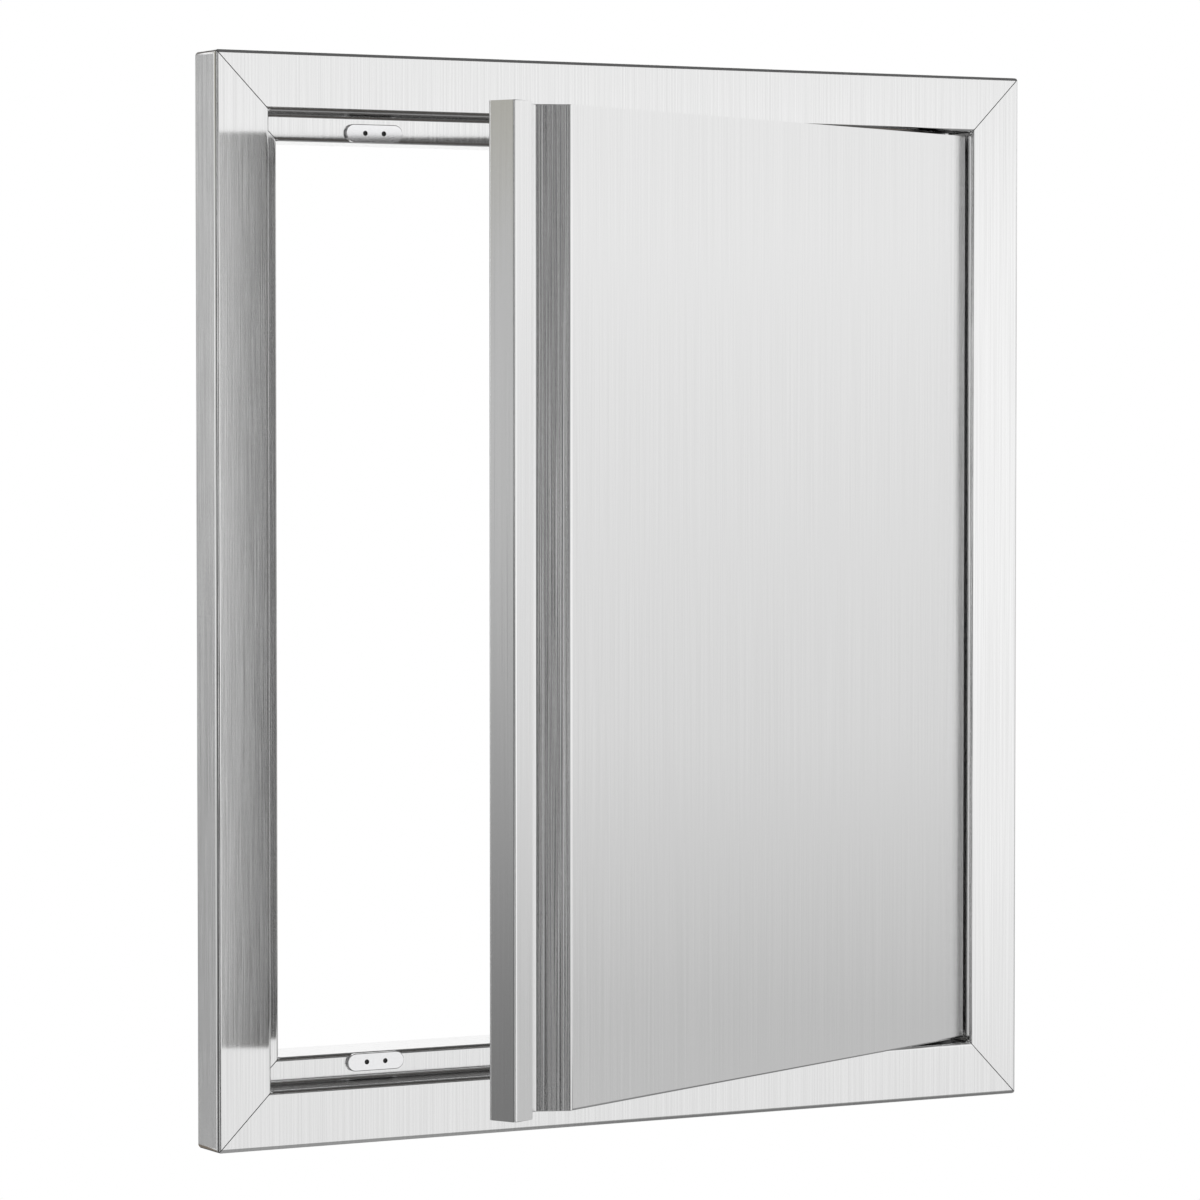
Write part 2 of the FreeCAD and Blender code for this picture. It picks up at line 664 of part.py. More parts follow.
def strike_rivets():
    """Rivets through the liner, flush with the strike plates."""
    rivets = []
    for x, z in strike_rivet_places():
        rivets.append(rod(STRIKE_RIVET_RADIUS, vec(x, SKIN_BACK - STRIKE_TAIL, z), vec(x, STRIKE_BACK, z)))
    return rivets


def hang(shape):
    """Turns a piece of the door about its pins, from shut to the angle it stands open at."""
    shape = shape.copy()
    shape.rotate(vec(PIVOT_X, PIVOT_Y, 0), Z_AXIS, OPEN_ANGLE)
    return shape


def group(solids):
    return Part.makeCompound(solids)


def build():
    fixed = {
        "frame_top_rail": frame_rail(1),
        "frame_bottom_rail": frame_rail(-1),
        "frame_latch_stile": frame_stile(-1),
        "frame_hinge_stile": frame_stile(1),
        "corner_gussets": group(corner_gussets()),
        "upper_pivot_plate": pivot_plate(1),
        "lower_pivot_plate": pivot_plate(-1),
        "upper_pivot_bush": upper_pivot_bush(),
        "lower_pivot_pin": lower_pivot_pin(),
        "lower_thrust_washer": lower_thrust_washer(),
        "upper_catch_plate": catch_plate(1),
        "lower_catch_plate": catch_plate(-1),
        "upper_catch_magnet": catch_magnet(1),
        "lower_catch_magnet": catch_magnet(-1),
        "upper_catch_rivets": group(catch_rivets(1)),
        "lower_catch_rivets": group(catch_rivets(-1)),
    }
    hung = {
        "door_skin": door_skin(),
        "door_liner": door_liner(),
        "lower_hinge_block": lower_hinge_block(),
        "lower_pivot_bush": lower_pivot_bush(),
        "upper_pin_bracket": upper_pin_bracket(),
        "sprung_hinge_pin": sprung_hinge_pin(),
        "pin_pull": pin_pull(),
        "pin_collar": pin_collar(),
        "pin_spring": pin_spring(),
        "upper_strike_plate": strike_plate(1),
        "lower_strike_plate": strike_plate(-1),
        "strike_rivets": group(strike_rivets()),
    }
    nodes = dict(fixed)
    for name, shape in hung.items():
        nodes[name] = hang(shape)
    return nodes


os.makedirs("parts", exist_ok=True)
for node, node_shape in build().items():
    node_shape.exportStep("parts/" + node + ".step")
    print(node, len(node_shape.Solids), node_shape.isValid(), round(node_shape.Volume, 1))
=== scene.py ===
import json
import math

import bmesh
import bpy
from bpy.props import FloatProperty, FloatVectorProperty, IntProperty, PointerProperty
from mathutils import Matrix, Vector


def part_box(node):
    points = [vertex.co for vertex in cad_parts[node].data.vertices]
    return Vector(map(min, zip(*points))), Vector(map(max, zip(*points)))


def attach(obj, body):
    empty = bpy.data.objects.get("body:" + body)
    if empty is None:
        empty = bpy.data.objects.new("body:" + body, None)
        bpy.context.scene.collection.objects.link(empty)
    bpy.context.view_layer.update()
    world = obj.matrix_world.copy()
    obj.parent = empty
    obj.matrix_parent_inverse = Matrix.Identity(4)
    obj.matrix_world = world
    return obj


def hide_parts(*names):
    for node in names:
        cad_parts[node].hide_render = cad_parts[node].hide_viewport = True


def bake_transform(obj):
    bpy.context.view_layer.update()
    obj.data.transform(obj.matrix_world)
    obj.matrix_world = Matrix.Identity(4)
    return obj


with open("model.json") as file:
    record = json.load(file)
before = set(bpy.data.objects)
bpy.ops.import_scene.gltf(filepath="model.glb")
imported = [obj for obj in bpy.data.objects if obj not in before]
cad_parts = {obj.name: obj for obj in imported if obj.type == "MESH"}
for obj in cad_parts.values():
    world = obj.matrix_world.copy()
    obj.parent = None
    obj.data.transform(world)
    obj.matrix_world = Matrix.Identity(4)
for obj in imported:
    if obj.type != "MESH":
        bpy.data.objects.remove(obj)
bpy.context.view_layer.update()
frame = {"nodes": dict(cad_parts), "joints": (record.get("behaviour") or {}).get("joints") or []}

bl_info = {
    "name": "Barbecue Island Access Door",
    "version": (1, 0, 0),
    "blender": (4, 5, 0),
    "location": "View3D > Sidebar > Access Door",
    "description": "Folded stainless frame and door skins, brushed finishes and a plain studio",
    "category": "Add Mesh",
}

BRUSH_MAP = "brush_direction"
MM = 0.001
TOUCH = 0.01 * MM       # points no further apart than this are one
FOLD_FACET = 1.0 * MM   # no facet of a rounded fold is as wide as this
OVERCUT = 1.0 * MM      # how far a cutting tool stands past what it cuts
THROUGH = 3.0 * MM      # how far a cutting tool reaches to go through a sheet
SOFTENING = 0.35 * MM   # of the cut edges that show
LOOKS_FRONT = -0.3      # a face looks to the front where its normal's Y is under this
LOOKS_BACK = 0.3        # and to the back where it is over this
IS_SIDE = 0.5           # and to a side where its size is under this
SHEET_SMOOTHING = math.radians(35)  # sharper edges stay sharp
COIL_SMOOTHING = math.radians(60)
CUT_CORNER = math.radians(60)       # the edges of a cut are sharper than this
SEEN_SIDE, HIDDEN_SIDE, CUT_EDGE = range(3)

# Limits of the frame, the door and its hinge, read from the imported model
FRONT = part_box("frame_top_rail")[0].y
FLANGE_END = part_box("frame_top_rail")[1].y
HALF_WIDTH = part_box("frame_hinge_stile")[1].x
HALF_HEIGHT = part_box("frame_top_rail")[1].z
OPENING_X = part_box("frame_hinge_stile")[0].x
OPENING_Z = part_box("frame_top_rail")[0].z
DOOR_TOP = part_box("door_skin")[1].z
JOINTS = {joint["name"]: joint for joint in frame["joints"]}
PIVOT = Vector(JOINTS["door_hinge"]["pos_m"])
OPEN_ANGLE = -math.radians(JOINTS["door_hinge"]["range_deg"][0])
PULL_TRAVEL = JOINTS["upper_pin_slide"]["range_m"][1]

# Radii of the holes for the pins and rivets
FIXED_PIN_HOLE = 2.5 * MM
SLIDING_PIN_HOLE = 2.8 * MM
LOWER_BUSH_HOLE = 3.55 * MM
CATCH_RIVET_HOLE = 1.2 * MM
STRIKE_RIVET_HOLE = 2.0 * MM
BUSH_RIM = 1.45 * MM            # the upper bush's flange is wider than its hole by this
STRIKE_RIVET_STEP = 12.0 * MM   # from the middle of the plate
BEHIND_LEDGE = 2.0 * MM         # a place in Y
PULL_PLAY = 0.3 * MM            # of the pull in its slot
HINGE_ROOM = 18.0 * MM          # between the pins and the ends of the liner's flanges

# Marks in the brushed steel: width across the brushing and length along it
STREAK_WIDTH = 0.9 * MM
STREAK_LENGTH = 130 * MM
GROOVE_WIDTH = 0.17 * MM
WAVE_WIDTH = 1.4 * MM
# Finishes of a folded sheet's seen side, hidden side and cut edges; the frame's cut edges take painted shade
FRAME_FINISHES = ("brushed_frame", "mill_inside", "dark_cut")
SKIN_FINISHES = ("brushed_door", "mill_back", "brushed_door")
# Brushed finishes: colour, roughness, strength of the streaks, and height and length of the
# fine grooves and of the broad waves
BRUSHED = {
    "brushed_frame": ("stainless", 0.1, 0.05, (0.03 * MM, 60 * MM), (0.005 * MM, 3000 * MM)),
    "brushed_door": ("stainless", 0.085, 0.022, (0.03 * MM, 200 * MM), (0.05 * MM, 20000 * MM)),
    "mill_back": ("stainless", 0.45, 0.04, (0.03 * MM, 60 * MM), (0.02 * MM, 300 * MM)),
    "mill_inside": ("inside", 0.35, 0.05, (0.02 * MM, 60 * MM), (0.02 * MM, 300 * MM)),
    # The liner's finish is partly a duller mill finish and partly painted shade, darker so that the rebates
    # that mirror it look shaded
    "mill_liner": ("liner", 0.2, 0.04, (0.03 * MM, 60 * MM), (0.02 * MM, 300 * MM)),
}
# Plain finishes: colour, metallic, roughness, and size and strength of the mottle
SPECKLED = {
    # dark_cut: the mitres' cut faces painted near black, painted shade for the dark hairline gaps
    "dark_cut": ("cut", 1.0, 0.6, 0.8 * MM, 0.05),
    "satin_plate": ("plate", 1.0, 0.08, 1.2 * MM, 0.02),
    "bright_turned": ("bright", 1.0, 0.22, 0.8 * MM, 0.04),
    # blackened_rivet: the catch rivets painted near black, painted shade for the dark rivet holes
    "blackened_rivet": ("rivet", 1.0, 0.3, 0.8 * MM, 0.1),
    "dark_magnet": ("magnet", 0.3, 0.55, 0.9 * MM, 0.2),
    "moulded_nylon": ("nylon", 0.0, 0.45, 1.0 * MM, 0.03),
}
MOTTLE_HEIGHT = 0.02 * MM
# Finishes of the other solids, by slot and by name
BY_SLOT = {"bright_steel": "bright_turned", "magnet": "dark_magnet", "nylon": "moulded_nylon"}
BY_NODE = {"upper_catch_rivets": "blackened_rivet", "lower_catch_rivets": "blackened_rivet"}

# The camera stands where the photograph was taken from
CAMERA_PLACE = (-1.2263, -2.1951, 0.0901)
CAMERA_YAW = math.radians(29.06)
CAMERA_PITCH = math.radians(2.12)
CAMERA_LENS = 156.2     # in millimetres, like the sensor
SENSOR_WIDTH = 36.0
WHITE = (1, 1, 1, 1)
SOFT_LIGHT = 0.6        # of the surroundings, where nothing sees them
FLOOR_HEIGHT = -0.6
FLOOR_RADIUS = 1.3
FLOOR_COLOUR = (0.9, 0.9, 0.9, 1)
FLOOR_ROUGHNESS = 0.9
# Lamps: place, width and power
LAMPS = {
    "overhead_lamp": ((0.1, -0.5, 1.7), 1.6, 14.0),
    "front_lamp": ((-0.4, -2.4, 1.5), 1.0, 8.0),
}

# Cards out of the camera's sight that the steel mirrors
FLAG_HEIGHT = 3.0
DUSK = (0.16, 0.14, 0.12)
WARM_GREY = (0.43, 0.42, 0.37)
EARTH = (0.2, 0.17, 0.14)
# Upright ones: azimuth (from the front to the right) and width in degrees, distance, and
# heights with the shade at each
FLAGS = {
    "front_flag": (31, 54, 2.5, (-0.56, 0.86), (-0.35, 0.95), (-0.09, 1), (0.24, 1), (0.4, 0.93)),
    "rear_right_flag": (121, 34, 1.7, (-0.4, 0.22), (0, 0.25)),
    "right_flag": (82, 44, 1.7, (-0.39, 0.57), (-0.17, 0.755), (0, 0.82), (0.22, 0.9)),
    "recess_flag": (-4.6, 17.2, 1.75, (-0.4, 0.74), (-0.05, 1), (0.28, 0.76)),
    "dark_flag": (-24.85, 23.3, 1.7, (-0.4, 0.03), (0, 0.06)),
    "hinge_flag": (-45, 17, 1.7, (-0.4, 0.6), (0, 0.85)),
    "far_dark_flag": (-66.25, 25.5, 1.7, (-0.4, 0.03), (0, 0.06)),
    "left_flag": (-96.5, 35, 1.7, (-0.39, 0.2), (-0.2, 0.36), (0, 0.54), (0.24, 0.54),
                  (0.32, WARM_GREY)),
    "light_left_flag": (-128, 28, 1.7, (-0.4, 0.8), (0, 1.08)),
    "side_flag": (-148, 12, 1.7, (-0.5, 0.34), (-0.2, 0.32), (0, 0.37), (0.2, 0.43), (0.5, 0.36)),
    "rear_left_flag": (-169, 30, 1.7, (-1.2, DUSK), (-0.5, 0.3), (-0.2, 0.28), (0, 0.33),
                       (0.2, 0.36), (0.5, 0.36), (1.2, DUSK)),
}
# Level ones: limits in X and in Y, height and shade
LEVEL_FLAGS = {
    "ceiling_flag": ((-1.8, 2.2), (-2.2, 0.15), 1.6, 0.12),
    "rear_ceiling_flag": ((-2.2, -0.25), (0.15, 2), 1.6, DUSK),
    "rear_right_ceiling_flag": ((-0.25, 2.2), (0.15, 2), 1.6, 0.12),
    "rear_right_under_flag": ((-0.12, 1.6), (0.15, 1.5), -0.59, 0.28),
    "under_flag": ((-1.2, 1.6), (-1.25, 0.15), -0.59, 0.33),
    "right_under_flag": ((0.15, 1.6), (-0.4, 0.15), -0.585, 0.2),
    "rear_under_flag": ((-2.2, -0.12), (0.15, 1.5), -0.59, EARTH),
}


class FrameSizes(bpy.types.PropertyGroup):
    """Sizes of the frame"""
    sheet: FloatProperty(name="Sheet", description="Thickness of the frame's sheet",
                         default=1.0 * MM, unit="LENGTH")
    bend: FloatProperty(name="Bend", description="Inside radius of each fold",
                        default=1.0 * MM, unit="LENGTH")
    ledge_bend: FloatProperty(name="Ledge bend", description="Radius of the fold in the rebate's corner",
                              default=1.8 * MM, unit="LENGTH")
    ledge: FloatProperty(name="Ledge", description="Width of the ledge that stops the door",
                         default=12.8 * MM, unit="LENGTH")
    rebate: FloatProperty(name="Rebate", description="Depth from the face to the ledge",
                          default=19.0 * MM, unit="LENGTH")
    mitre_gap: FloatProperty(name="Mitre gap", description="Hairline left open at each mitre",
                             default=0.4 * MM, unit="LENGTH")
    relief: FloatProperty(name="Relief", description="Radius of the notch where two folds meet",
                          default=0.9 * MM, unit="LENGTH")
    corner: FloatProperty(name="Corner", description="Rounding of the frame's four outer corners",
                          default=2.3 * MM, unit="LENGTH")
    screw_hole: FloatProperty(name="Screw hole", description="Radius of the flange's screw holes",
                              default=2.75 * MM, unit="LENGTH")
    screw_depth: FloatProperty(name="Screw depth", description="Screw holes behind the island's face",
                               default=14.0 * MM, unit="LENGTH")
    screw_spacing: FloatProperty(name="Screw spacing", description="Between a stile's two screw holes",
                                 default=280.0 * MM, unit="LENGTH")


class DoorSizes(bpy.types.PropertyGroup):
    """Sizes of the door's sheets and spring"""
    sheet: FloatProperty(name="Sheet", description="Thickness of the door's sheets",
                         default=1.0 * MM, unit="LENGTH")
    bend: FloatProperty(name="Bend", description="Inside radius of each fold",
                        default=0.8 * MM, unit="LENGTH")
    lip_bend: FloatProperty(name="Lip bend", description="Inside radius of the fold at the lip",
                            default=0.3 * MM, unit="LENGTH")
    hem_bend: FloatProperty(name="Hem bend", description="Inside radius of the hem's fold",
                            default=0.2 * MM, unit="LENGTH")
    corner: FloatProperty(name="Lip corner", description="Radius of the lip's free corners",
                          default=1.8 * MM, unit="LENGTH")
    liner_overlap: FloatProperty(name="Liner overlap", description="Liner on the back of the recess's floor",
                                 default=15.0 * MM, unit="LENGTH")
    liner_flange: FloatProperty(name="Liner flange", description="Depth of the liner's folded edges",
                                default=8.0 * MM, unit="LENGTH")
    depth: FloatProperty(name="Depth", description="Front of the panel to the back of its returns",
                         default=13.0 * MM, unit="LENGTH")
    side_gap: FloatProperty(name="Side gap", description="Gap between door and rebate at each side",
                            default=2.3 * MM, unit="LENGTH")
    lip: FloatProperty(name="Lip", description="Width of the lip along the free edge",
                       default=13.3 * MM, unit="LENGTH")
    lip_proud: FloatProperty(name="Lip height", description="How far the lip stands in front of the panel",
                             default=2.0 * MM, unit="LENGTH")
    mouth: FloatProperty(name="Recess mouth", description="From the lip to the panel's edge",
                         default=31.9 * MM, unit="LENGTH")
    slope: FloatProperty(name="Recess slope", description="How steeply the recess falls from the panel",
                         default=math.radians(46.5), unit="ROTATION", subtype="ANGLE")
    hem: FloatProperty(name="Hem", description="Length of the hem folded behind the lip",
                       default=7.0 * MM, unit="LENGTH")
    spring_wire: FloatProperty(name="Spring wire", description="Radius of the wire of the pin's spring",
                               default=0.4 * MM, unit="LENGTH")
    spring_turns: IntProperty(name="Spring turns", description="Turns of the pin's spring", default=6)


class Finishes(bpy.types.PropertyGroup):
    """Colours of the finishes"""
    stainless: FloatVectorProperty(name="Stainless", description="Brushed stainless sheet",
                                   subtype="COLOR", size=3, default=(0.87, 0.87, 0.87))
    # The liner colour is partly the back sheet's duller mill finish and partly painted shade: darker so that
    # the frame's rebates, which mirror it, look shaded
    liner: FloatVectorProperty(name="Liner", description="Duller back sheet of the door",
                               subtype="COLOR", size=3, default=(0.36, 0.36, 0.36))
    inside: FloatVectorProperty(name="Inside", description="Unbrushed inner side of the frame's sheet",
                                subtype="COLOR", size=3, default=(0.6, 0.6, 0.6))
    # The cut colour is painted shade: near black so that the mitres' hairlines read as shaded gaps
    cut: FloatVectorProperty(name="Cut edges", description="Cut edges in the mitres' hairlines",
                             subtype="COLOR", size=3, default=(0.15, 0.15, 0.15))
    plate: FloatVectorProperty(name="Catch plate", description="Satin plated catch plates",
                               subtype="COLOR", size=3, default=(0.94, 0.94, 0.95))
    bright: FloatVectorProperty(name="Bright steel", description="Turned pins, springs and rivets",
                                subtype="COLOR", size=3, default=(0.72, 0.72, 0.73))
    # The rivet colour is painted shade: near black so that the catch plates' rivet holes read dark
    rivet: FloatVectorProperty(name="Catch rivets", description="Blackened rivets of the catch plates",
                               subtype="COLOR", size=3, default=(0.06, 0.06, 0.06))
    magnet: FloatVectorProperty(name="Magnet", description="Dull dark magnets",
                                subtype="COLOR", size=3, default=(0.07, 0.07, 0.075))
    nylon: FloatVectorProperty(name="Nylon", description="Moulded bushes and washers",
                               subtype="COLOR", size=3, default=(0.04, 0.04, 0.04))


def deselect_all():
    """Leaves edit mode, with nothing selected."""
    if bpy.context.object and bpy.context.object.mode != "OBJECT":
        bpy.ops.object.mode_set(mode="OBJECT")
    bpy.ops.object.select_all(action="DESELECT")


def take_up(piece):
    """Makes a piece the only one selected."""
    deselect_all()
    piece.select_set(True)
    bpy.context.view_layer.objects.active = piece


def settle(piece):
    """Puts a piece's place into its mesh and leaves its object at the origin."""
    take_up(piece)
    bpy.ops.object.transform_apply(location=True, rotation=True, scale=True)


def edit_edges(piece, select="DESELECT"):
    """Opens a piece in edit mode for its edges, with nothing or all selected."""
    take_up(piece)
    bpy.ops.object.mode_set(mode="EDIT")
    bpy.ops.mesh.select_mode(type="EDGE")
    bpy.ops.mesh.select_all(action=select)


def leave_edit():
    """Goes back to the whole object."""
    bpy.ops.object.mode_set(mode="OBJECT")


def select_edges(piece, wanted):
    """Selects the edges that pass a test; the piece is in edit mode."""
    mesh = bmesh.from_edit_mesh(piece.data)
    for edge in mesh.edges:
        edge.select_set(wanted(edge))
    bmesh.update_edit_mesh(piece.data)


def select_line(piece, point, along):
    """Selects the edges on the line through a point."""
    direction = along.normalized()

    def on_line(edge):
        offsets = [vertex.co - point for vertex in edge.verts]
        return all((o - direction * o.dot(direction)).length < TOUCH for o in offsets)

    select_edges(piece, on_line)


def apply_modifier(piece, name, kind, **settings):
    """Adds a modifier with the settings given and applies it."""
    take_up(piece)
    modifier = piece.modifiers.new(name, kind)
    for key, value in settings.items():
        setattr(modifier, key, value)
    bpy.ops.object.modifier_apply(modifier=modifier.name)


def add_flat(name, start, end, along, metal_side):
    """The first flat of a sheet, from the line at start to the line at end."""
    across = end - start
    run = -along if across.cross(along).dot(metal_side) > 0 else along
    turn = Matrix((across.normalized(), run.normalized(), across.cross(run).normalized())).transposed()
    bpy.ops.mesh.primitive_plane_add(size=1, location=(start + end + along) / 2,
                                     rotation=turn.to_euler())
    piece = bpy.context.object
    piece.name = name
    piece.scale = (across.length, along.length, 1)
    settle(piece)
    return piece


def fold_sheet(name, corners, along, metal_side, sheet, bends, segments=6):
    """A folded sheet: a flat, extruded fold by fold along the section, rounded and thickened.

    The corners are the section's sharp corners on the seen side; metal_side points from the
    first flat into the metal. Each inner corner has its own inside radius in bends.
    """
    piece = add_flat(name, corners[0], corners[1], along, metal_side)
    edit_edges(piece)
    select_line(piece, corners[1], along)
    folds = []
    run = (corners[1] - corners[0]).normalized()
    inwards = metal_side.normalized()
    for here, there, bend in zip(corners[1:], corners[2:], bends):
        bpy.ops.mesh.extrude_region_move(TRANSFORM_OT_translate={"value": there - here})
        next_run = (there - here).normalized()
        radius = bend + sheet if next_run.dot(inwards) > 0 else bend
        folds.append((here, radius * math.tan(run.angle(next_run) / 2)))
        inwards = run.rotation_difference(next_run) @ inwards
        run = next_run
    for corner, reach in folds:
        select_line(piece, corner, along)
        bpy.ops.mesh.bevel(offset_type="OFFSET", offset=reach, segments=segments, profile=0.5,
                           affect="EDGES")
    bpy.ops.mesh.select_all(action="SELECT")
    bpy.ops.mesh.remove_doubles(threshold=TOUCH)
    leave_edit()
    for _ in (SEEN_SIDE, HIDDEN_SIDE, CUT_EDGE):
        piece.data.materials.append(None)
    apply_modifier(piece, "Sheet", "SOLIDIFY", thickness=sheet, offset=-1.0, use_even_offset=True,
                   use_rim=True, material_offset=HIDDEN_SIDE)
    return piece


def slice_off(piece, point, outwards):
    """Cuts away what lies beyond a plane and closes the cut, which counts as a cut edge."""
    edit_edges(piece, "SELECT")
    bpy.ops.mesh.bisect(plane_co=point, plane_no=outwards, use_fill=True, clear_outer=True,
                        threshold=TOUCH)
    mesh = bmesh.from_edit_mesh(piece.data)
    direction = outwards.normalized()
    for face in mesh.faces:
        if all(abs((vertex.co - point).dot(direction)) < TOUCH for vertex in face.verts):
            face.material_index = CUT_EDGE
    bmesh.update_edit_mesh(piece.data)
    leave_edit()


def add_rod(radius, start, end, vertices=32):
    """A round bar between two points, as a tool or a blank."""
    along = end - start
    rotation = Vector((0, 0, 1)).rotation_difference(along).to_euler()
    bpy.ops.mesh.primitive_cylinder_add(vertices=vertices, radius=radius, depth=along.length,
                                        location=(start + end) / 2, rotation=rotation)
    rod = bpy.context.object
    settle(rod)
    return rod


def add_bore(radius, x, z, front, back, vertices=32):
    """A round bar along Y, as a tool."""
    return add_rod(radius, Vector((x, front, z)), Vector((x, back, z)), vertices)


def add_block(corner, opposite):
    """A block between two opposite corners, as a tool or a blank."""
    bpy.ops.mesh.primitive_cube_add(size=1, location=(corner + opposite) / 2)
    block = bpy.context.object
    block.scale = [abs(length) for length in opposite - corner]
    settle(block)
    return block


def combine(piece, tools, operation):
    """Cuts tools from a piece, or welds them to it, and clears them away."""
    for tool in tools:
        apply_modifier(piece, "Tool", "BOOLEAN", operation=operation, object=tool, solver="EXACT")
        bpy.data.objects.remove(tool, do_unlink=True)
        if not piece.data.polygons:
            raise RuntimeError(piece.name + " was lost in a cut")


def round_off(piece, x_low, x_high, y, z, radius, y_inwards, z_inwards):
    """Rounds a piece's sharp edge along X, where its faces at y and z meet."""
    centre_y, centre_z = y + y_inwards * radius, z + z_inwards * radius
    tool = add_block(Vector((x_low, y - y_inwards * OVERCUT, z - z_inwards * OVERCUT)),
                     Vector((x_high, centre_y, centre_z)))
    rod = add_rod(radius, Vector((x_low - OVERCUT, centre_y, centre_z)),
                  Vector((x_high + OVERCUT, centre_y, centre_z)), vertices=48)
    combine(tool, [rod], "DIFFERENCE")
    combine(piece, [tool], "DIFFERENCE")


def lay_brush_direction(piece):
    """Maps each face so that V runs along the brushing, which is upright on an upright face."""
    edit_edges(piece, "SELECT")
    if not piece.data.uv_layers:
        bpy.ops.mesh.uv_texture_add()
    bpy.ops.uv.cube_project(cube_size=1.0)
    leave_edit()
    while len(piece.data.uv_layers) > 1:
        piece.data.uv_layers.remove(piece.data.uv_layers[-1])
    piece.data.uv_layers[0].name = BRUSH_MAP


def swing_open(piece):
    """Turns a piece of the door about its pins, from shut to open."""
    edit_edges(piece, "SELECT")
    bpy.ops.transform.rotate(value=-OPEN_ANGLE, orient_axis="Z", center_override=PIVOT)
    leave_edit()


def keep_flats(piece):
    """Marks the faces wider than a fold's facets, so that shading leaves them flat."""
    edit_edges(piece)
    bpy.ops.mesh.select_mode(type="FACE")
    mesh = bmesh.from_edit_mesh(piece.data)
    for face in mesh.faces:
        longest = max(edge.calc_length() for edge in face.edges)
        face.select_set(face.calc_area() / longest > FOLD_FACET)
    bmesh.update_edit_mesh(piece.data)
    bpy.ops.mesh.mod_weighted_strength(set=True, face_strength="STRONG")
    leave_edit()


def finish_sheet(piece, body, node, finishes, hung=False):
    """Maps, hangs, smooths and paints a sheet piece that stands for a node.

    One finish covers the whole piece; three go to the sides that its faces are marked as.
    """
    lay_brush_direction(piece)
    if hung:
        swing_open(piece)
    keep_flats(piece)
    bpy.ops.object.shade_smooth_by_angle(angle=SHEET_SMOOTHING)
    apply_modifier(piece, "Flat faces stay flat", "WEIGHTED_NORMAL", keep_sharp=True,
                   use_face_influence=True)
    if len(finishes) == 1:
        piece.data.materials.clear()
        piece.data.materials.append(None)
    for index, finish in enumerate(finishes):
        piece.data.materials[index] = ready_material(finish)
    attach(piece, body)
    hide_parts(node)


def slot_of(node):
    """The material slot that the record gives a node."""
    return frame["nodes"][node].data.materials[0].name.split(".")[0]


def set_inputs(tree, node, **inputs):
    """Gives inputs values or links them to outputs; _ stands for a space in a name."""
    for name, value in inputs.items():
        socket = node.inputs[name.replace("_", " ")]
        if isinstance(value, bpy.types.NodeSocket):
            tree.links.new(value, socket)
        else:
            socket.default_value = value
    return node


def add_node(tree, kind, **inputs):
    """A new node with its inputs set."""
    return set_inputs(tree, tree.nodes.new(kind), **inputs)


def new_finish(name, metallic):
    """A new material, with its node tree and its shader."""
    material = bpy.data.materials.new(name)
    material.use_nodes = True
    tree = material.node_tree
    return material, tree, set_inputs(tree, tree.nodes["Principled BSDF"], Metallic=metallic)


def stretched_noise(tree, across, along, detail):
    """Noise drawn out along the brushing: across and along are its marks' width and length."""
    place = add_node(tree, "ShaderNodeUVMap")
    place.uv_map = BRUSH_MAP
    mapping = add_node(tree, "ShaderNodeMapping", Vector=place.outputs["UV"],
                       Scale=(1 / across, 1 / along, 1))
    noise = add_node(tree, "ShaderNodeTexNoise", Vector=mapping.outputs["Vector"], Scale=1.0,
                     Detail=detail)
    return noise.outputs["Fac"]


def vary_colour(tree, marks, shader, colour, contrast, margin):
    """Darkens and lightens a colour with the marks, less the margin at both ends."""
    tone = add_node(tree, "ShaderNodeValToRGB", Fac=marks)
    dark, light = tone.color_ramp.elements
    dark.position = margin
    dark.color = [level * (1 - contrast) for level in colour] + [1]
    light.position = 1 - margin
    light.color = [min(1, level * (1 + contrast)) for level in colour] + [1]
    set_inputs(tree, shader, Base_Color=tone.outputs["Color"])


def vary_gloss(tree, marks, shader, least, most, margin):
    """Takes the roughness from least to most with the marks, less the margin at both ends."""
    gloss = add_node(tree, "ShaderNodeMapRange", Value=marks, From_Min=margin, From_Max=1 - margin,
                     To_Min=least, To_Max=most)
    set_inputs(tree, shader, Roughness=gloss.outputs["Result"])


def raise_bump(tree, height, distance, strength=1.0):
    """A relief from a height."""
    return add_node(tree, "ShaderNodeBump", Strength=strength, Distance=distance, Height=height)


def brushed_steel(name, colour, roughness, streak, groove, wave):
    """Stainless sheet with upright brushing in its colour, gloss and relief.

    groove and wave are a height and a length along the brushing: fine scratches that spread
    reflections sideways, and broad ones that break them up into streaks.
    """
    material, tree, shader = new_finish(name, metallic=1.0)
    marks = stretched_noise(tree, STREAK_WIDTH, STREAK_LENGTH, detail=4.0)
    vary_colour(tree, marks, shader, colour, streak, margin=0.34)
    vary_gloss(tree, marks, shader, least=roughness * 0.85, most=roughness * 1.2, margin=0.3)
    fine = raise_bump(tree, stretched_noise(tree, GROOVE_WIDTH, groove[1], detail=1.0), groove[0])
    broad = raise_bump(tree, stretched_noise(tree, WAVE_WIDTH, wave[1], detail=3.0), wave[0])
    set_inputs(tree, broad, Normal=fine.outputs["Normal"])
    tangent = add_node(tree, "ShaderNodeTangent")
    tangent.direction_type = "UV_MAP"
    tangent.uv_map = BRUSH_MAP
    set_inputs(tree, shader, Normal=broad.outputs["Normal"], Anisotropic=1.0,
               Tangent=tangent.outputs["Tangent"])
    return material


